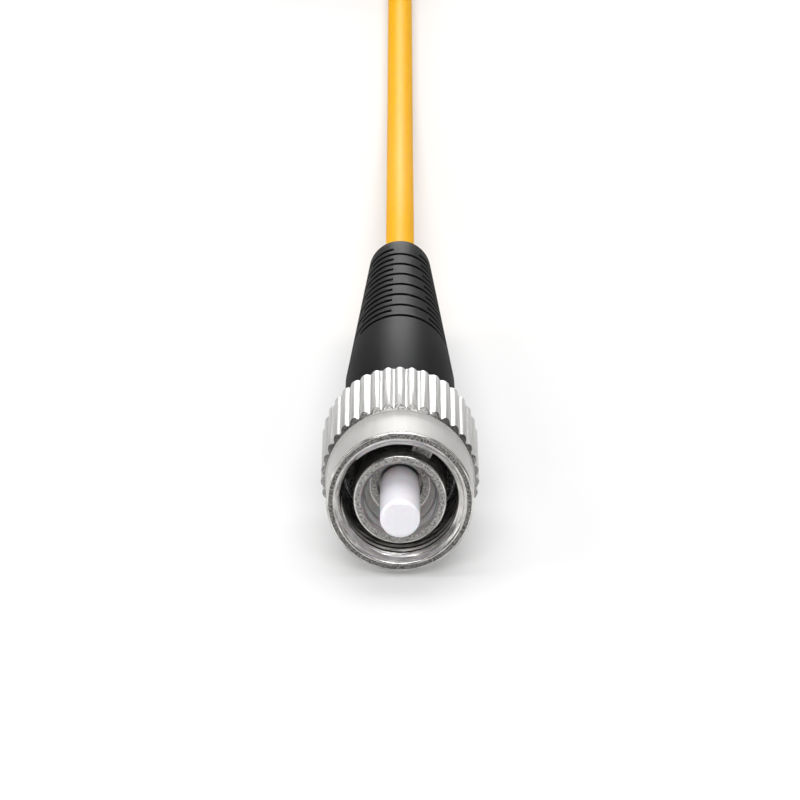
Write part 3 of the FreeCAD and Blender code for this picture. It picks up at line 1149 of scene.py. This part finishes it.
@dataclass
class Hank:
    """The cord's spare length, folded flat in lanes side by side and in two layers.

    Points are x, station behind the near nut's face, and height, in millimetres.
    """

    middle: float = -6.0
    near_fold: float = 162.0
    run: float = 35.4
    lanes: tuple[float, ...] = (10.0, 8.0, 6.0)
    layers: Pair = (1.4, 3.4)
    leave_height: float = 5.4
    run_shares: tuple[float, ...] = (0.25, 0.75)
    fold_angles: tuple[float, ...] = (22.5, 67.5, 112.5, 157.5)

    def turns(self) -> list[Pair]:
        """Radius and height of each turn: inwards on the lower layer, outwards on the upper one."""
        lower, upper = self.layers
        return [(lane, lower) for lane in self.lanes] + [(lane, upper) for lane in reversed(self.lanes)]

    def fold(self, side: float, station: float, start: Pair, end: Pair) -> Iterator[Point]:
        """Points round one fold, as the corners of a polygon about it.

        Args:
            side: 1.0 for the far fold, which turns left, or -1.0 for the near one, which turns right.
            station: the fold's middle.
            start: radius and height where the fold starts.
            end: radius and height where it ends.

        Yields:
            The points, in order.
        """
        reach = 1 / math.cos(math.radians(self.fold_angles[0]))
        for number, angle in enumerate(self.fold_angles):
            share = (number + 0.5) / len(self.fold_angles)
            radius, height = (a + (b - a) * share for a, b in zip(start, end))
            across = radius * reach * math.cos(math.radians(angle))
            along = radius * reach * math.sin(math.radians(angle))
            yield self.middle + side * across, station + side * along, height

    def points(self) -> Iterator[Point]:
        """Points of every turn, from where the cord comes in to where it leaves over the top."""
        turns = self.turns()
        for here, following in zip(turns, turns[1:] + [(self.lanes[0], self.leave_height)]):
            radius, height = here
            for share in self.run_shares:
                yield self.middle + radius, self.near_fold + share * self.run, height
            yield from self.fold(1.0, self.near_fold + self.run, here, here)
            for share in reversed(self.run_shares):
                yield self.middle - radius, self.near_fold + share * self.run, height
            yield from self.fold(-1.0, self.near_fold, here, following)


@dataclass
class Cord(Piece):
    """Yellow cord from the near boot through the hank to the far boot.

    Its routes are points like the hank's, and its length is in metres.
    """

    slot = "cord_jacket"
    looks = (Look.YELLOW_JACKET,)
    seat: Seat
    hank: Hank
    with_pieces: Sequence[bpy.types.Object]
    diameter: float = 2.0
    length: float = 0.945
    inside_boot: float = 24.0
    exit_station: float = 48.0
    axis_height: float = 4.985
    far_end_station: float = 243.9
    path_order: int = 3
    path_steps: int = 10
    round_steps: int = 6
    run_route: ClassVar[tuple[Point, ...]] = (
        (0.0, exit_station, axis_height),
        (0.0, 64.0, axis_height),
        (0.0, 94.0, 1.0),
        (0.0, 132.5, 1.0),
        (0.0, 148.0, 1.0),
        (4.0, 163.0, 1.4),
    )
    tail_route: ClassVar[tuple[Point, ...]] = (
        (4.0, 164.0, 5.4),
        (3.4, 179.7, 5.5),
        (0.8, 196.9, 5.5),
        (0.0, 210.9, axis_height),
        (0.0, 219.9, axis_height),
    )

    def nodes(self) -> tuple[str, ...]:
        """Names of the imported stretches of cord."""
        return "cord_run", "cord_hank", "cord_tail"

    def route(self) -> list[Point]:
        """Every point of the cord's route, from inside the near boot to inside the far one."""
        lead = (0.0, self.inside_boot, self.axis_height)
        last = (0.0, self.far_end_station, self.axis_height)
        return [lead, *self.run_route, *self.hank.points(), *self.tail_route, last]

    def build(self) -> bpy.types.Object:
        """Lay the cord as one smooth curve along its route."""
        curve = bpy.data.curves.new("yellow_cord", "CURVE")
        curve.dimensions = "3D"
        curve.bevel_depth = self.diameter / 2 * MM
        curve.bevel_resolution = self.round_steps
        curve.resolution_u = self.path_steps
        curve.use_fill_caps = True
        spline = curve.splines.new("NURBS")
        route = self.route()
        spline.points.add(len(route) - 1)
        for point, (x, station, height) in zip(spline.points, route):
            point.co = (x * MM, self.seat.front + station * MM, height * MM, 1.0)
        spline.order_u = self.path_order
        spline.use_endpoint_u = True
        piece = bpy.data.objects.new("yellow_cord", curve)
        bpy.context.scene.collection.objects.link(piece)
        return piece

    def make(self, palette: Palette) -> bpy.types.Object:
        """Args:
            palette: the materials.

        Returns:
            The finished cord.
        """
        piece = super().make(palette)
        self.seat.point(0.0, self.exit_station, 0.0)
        list(self.with_pieces)
        return piece


@dataclass
class HankTie(Piece):
    """Woven strap round the hank and over the cord's last pass, with its end lapped over itself."""

    slot = "tie_fabric"
    looks = (Look.WOVEN_STRAP,)
    seat: Seat
    station: float = 179.7
    width: float = 8.0
    thickness: float = 0.4
    left: float = -17.02
    right: float = 5.02
    side_top: float = 4.7
    pass_left: float = 2.4
    pass_right: float = 4.4
    pass_top: float = 6.75
    bend_steps: int = 6
    lap_start: float = 0.12
    lap_end: float = 0.62
    lap_tip: float = 0.05
    lap_tip_width: float = 0.6
    lap_inset: float = 0.4
    lap_rise: float = 0.95
    rim_angle: float = 60.0
    edge: float = 0.08
    edge_steps: int = 2

    def nodes(self) -> tuple[str, ...]:
        """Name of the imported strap."""
        return ("hank_tie",)

    def inside(self) -> list[Vector]:
        """Corners of the strap's inner face, anticlockwise as seen from the near end: across and up."""
        spots = [
            (self.left, self.thickness),
            (self.right, self.thickness),
            (self.right, self.side_top),
            (self.pass_right, self.pass_top),
            (self.pass_left, self.pass_top),
            (self.left, self.side_top),
        ]
        return [Vector(spot) for spot in spots]

    def loop(self) -> list[tuple[Vector, Vector]]:
        """Points round the strap's inner face, each with the direction out through the strap."""
        corners = self.inside()
        made = []
        for index, corner in enumerate(corners):
            before, after = corners[index - 1], corners[(index + 1) % len(corners)]
            enter, leave = (corner - before).normalized(), (after - corner).normalized()
            first, last = Vector((enter.y, -enter.x)), Vector((leave.y, -leave.x))
            for step in range(self.bend_steps + 1):
                made.append((corner, first.slerp(last, step / self.bend_steps)))
        return made

    def place(self, spot: Vector, along: float) -> Vector:
        """Point of the row frame from across, up and the distance along the hank."""
        return Vector((spot.x * MM, self.seat.front + (self.station + along) * MM, spot.y * MM))

    def build(self) -> bpy.types.Object:
        """Build the strap and its lapped end."""
        mesh = bmesh.new()
        half = self.width / 2
        rings = []
        for spot, out in self.loop():
            outer = spot + out * self.thickness
            profile = [(spot, -half), (outer, -half), (outer, half), (spot, half)]
            rings.append([mesh.verts.new(self.place(at, along)) for at, along in profile])
        for ring, following in zip(rings, rings[1:] + rings[:1]):
            join_rings(mesh, ring, following)
        self.add_lap(mesh)
        bmesh.ops.recalc_face_normals(mesh, faces=mesh.faces)
        rims = [edge for edge in mesh.edges if edge.calc_face_angle(0.0) > math.radians(self.rim_angle)]
        round_edges(mesh, rims, self.edge, self.edge_steps)
        return new_piece("hank_strap", mesh)

    def add_lap(self, mesh: bmesh.types.BMesh) -> None:
        """Add the strap's end, which lies on the slope beside the cord's last pass.

        Args:
            mesh: the strap's bmesh.
        """
        top, bottom = Vector((self.pass_left, self.pass_top)), Vector((self.left, self.side_top))
        slope = bottom - top
        out = Vector((-slope.y, slope.x)).normalized()
        if out.y < 0:
            out.negate()
        base = self.thickness * self.lap_rise
        half = self.width / 2 - self.lap_inset
        narrow = half * self.lap_tip_width
        start, end = top + slope * self.lap_start, top + slope * self.lap_end
        tip = top + slope * (self.lap_end + self.lap_tip)
        outline = [(start, -half), (end, -half), (tip, -narrow), (tip, narrow), (end, half), (start, half)]
        low, high = (
            [mesh.verts.new(self.place(at + out * rise, along)) for at, along in outline]
            for rise in (base, base + self.thickness)
        )
        mesh.faces.new(low)
        mesh.faces.new(high)
        join_rings(mesh, low, high)


@dataclass(frozen=True)
class Softbox:
    """A soft studio light, in metres and watts, aimed at the origin."""

    name: str
    place: Point
    size: Pair
    power: float

    def make(self) -> None:
        """Hang the light."""
        lamp = bpy.data.lights.new(self.name, "AREA")
        lamp.shape = "RECTANGLE"
        lamp.size, lamp.size_y = self.size
        lamp.energy = self.power
        made = bpy.data.objects.new(self.name, lamp)
        made.location = self.place
        made.rotation_euler = (Vector() - Vector(self.place)).to_track_quat("-Z", "Y").to_euler()
        bpy.context.scene.collection.objects.link(made)


@dataclass
class Studio:
    """White floor, soft lights and the camera, in metres and degrees."""

    floor_side: float = 6.0
    floor_drop: float = 0.00002
    floor_colour: str = "#D9D9D9"
    floor_roughness: float = 0.9
    floor_lift: Pair = (0.15, 0.15)
    fill: float = 0.1
    fill_lift: Pair = (0.9, 0.1)
    camera_place: Point = (0.0, -0.3534, 0.1255)
    camera_pitch: float = 18.97
    camera_clip: float = 0.01
    focal_pixels: float = 5650.0
    picture_pixels: float = 800.0
    softboxes: ClassVar[tuple[Softbox, ...]] = (
        Softbox("top_softbox", (0.0, 0.16, 0.8), (1.0, 0.7), 5.7),
        Softbox("back_softbox", (0.0, 0.9, 0.25), (1.6, 0.5), 1.3),
        Softbox("strip_softbox", (0.0, 0.75, 0.16), (0.17, 0.18), 1.7),
        Softbox("left_softbox", (-0.8, -0.17, 0.38), (0.46, 0.8), 3.0),
        Softbox("right_softbox", (0.75, -0.2, 0.455), (0.5, 0.5), 1.3),
        Softbox("front_softbox", (0.0, -0.95, 0.8), (0.8, 0.5), 7.4),
    )

    def lift(self, tree: bpy.types.NodeTree, base: float, seen: Pair) -> bpy.types.NodeSocket:
        """Add a strength that is higher where the camera, or a mirror or glass, sees the surface.

        Args:
            tree: the floor's or world's node tree.
            base: strength for every other ray.
            seen: what is added for the camera, and for reflections and glass.

        Returns:
            The socket that gives the strength.
        """
        path = add_node(tree, "ShaderNodeLightPath", {})
        through = add_node(
            tree,
            "ShaderNodeMath",
            {0: path.outputs["Is Glossy Ray"], 1: path.outputs["Is Transmission Ray"]},
            operation="MAXIMUM",
        )
        mirrored = add_node(
            tree,
            "ShaderNodeMath",
            {0: through.outputs["Value"], 1: seen[1], 2: base},
            operation="MULTIPLY_ADD",
        )
        whole = add_node(
            tree,
            "ShaderNodeMath",
            {0: path.outputs["Is Camera Ray"], 1: seen[0], 2: mirrored.outputs["Value"]},
            operation="MULTIPLY_ADD",
        )
        return whole.outputs["Value"]

    def make_floor(self) -> None:
        """Lay the floor, which the camera sees as white apart from the shadow on it."""
        mesh = bmesh.new()
        bmesh.ops.create_grid(mesh, x_segments=1, y_segments=1, size=self.floor_side / 2)
        floor = new_piece("studio_floor", mesh)
        floor.location.z = -self.floor_drop
        made = bpy.data.materials.new("studio_floor_matt_white")
        made.use_nodes = True
        tree = made.node_tree
        surface = tree.nodes["Principled BSDF"]
        surface.inputs["Base Color"].default_value = linear(self.floor_colour)
        surface.inputs["Roughness"].default_value = self.floor_roughness
        surface.inputs["Specular IOR Level"].default_value = 0.0
        surface.inputs["Emission Color"].default_value = WHITE
        tree.links.new(self.lift(tree, 0.0, self.floor_lift), surface.inputs["Emission Strength"])
        floor.data.materials.append(made)

    def make_world(self) -> None:
        """Fill the studio with even light."""
        world = bpy.data.worlds.new("studio_fill")
        world.use_nodes = True
        ground = world.node_tree.nodes["Background"]
        ground.inputs["Color"].default_value = WHITE
        strength = self.lift(world.node_tree, self.fill, self.fill_lift)
        world.node_tree.links.new(strength, ground.inputs["Strength"])
        bpy.context.scene.world = world

    def make_camera(self) -> None:
        """Set the camera at the photograph's viewing angle."""
        lens = bpy.data.cameras.new("studio_camera")
        lens.lens = lens.sensor_width * self.focal_pixels / self.picture_pixels
        lens.clip_start = self.camera_clip
        camera = bpy.data.objects.new("studio_camera", lens)
        camera.location = self.camera_place
        camera.rotation_euler = (math.radians(QUARTER_TURN - self.camera_pitch), 0.0, 0.0)
        bpy.context.scene.collection.objects.link(camera)
        bpy.context.scene.camera = camera

    def make(self) -> None:
        """Make the whole studio."""
        self.make_floor()
        self.make_world()
        for softbox in self.softboxes:
            softbox.make()
        self.make_camera()
        bpy.context.scene.view_settings.view_transform = "Standard"
        LOG.info("studio: %d softboxes", len(self.softboxes))


def main() -> None:
    """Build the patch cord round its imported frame, and the studio round the patch cord."""
    logging.basicConfig(level=logging.INFO, format="%(name)s: %(message)s")
    for piece in list(bpy.data.objects):
        bpy.data.objects.remove(piece)
    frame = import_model()
    palette = Palette()
    near, far = Seat.find(End.NEAR), Seat.find(End.FAR)
    Studio().make()
    Connector(near).make(frame["nodes"], palette)
    far_pieces = Connector(far).make(frame["nodes"], palette)
    tie = HankTie(near).make(palette)
    Cord(near, Hank(), [*far_pieces, tie]).make(palette)


if __name__ == "__main__":
    main()
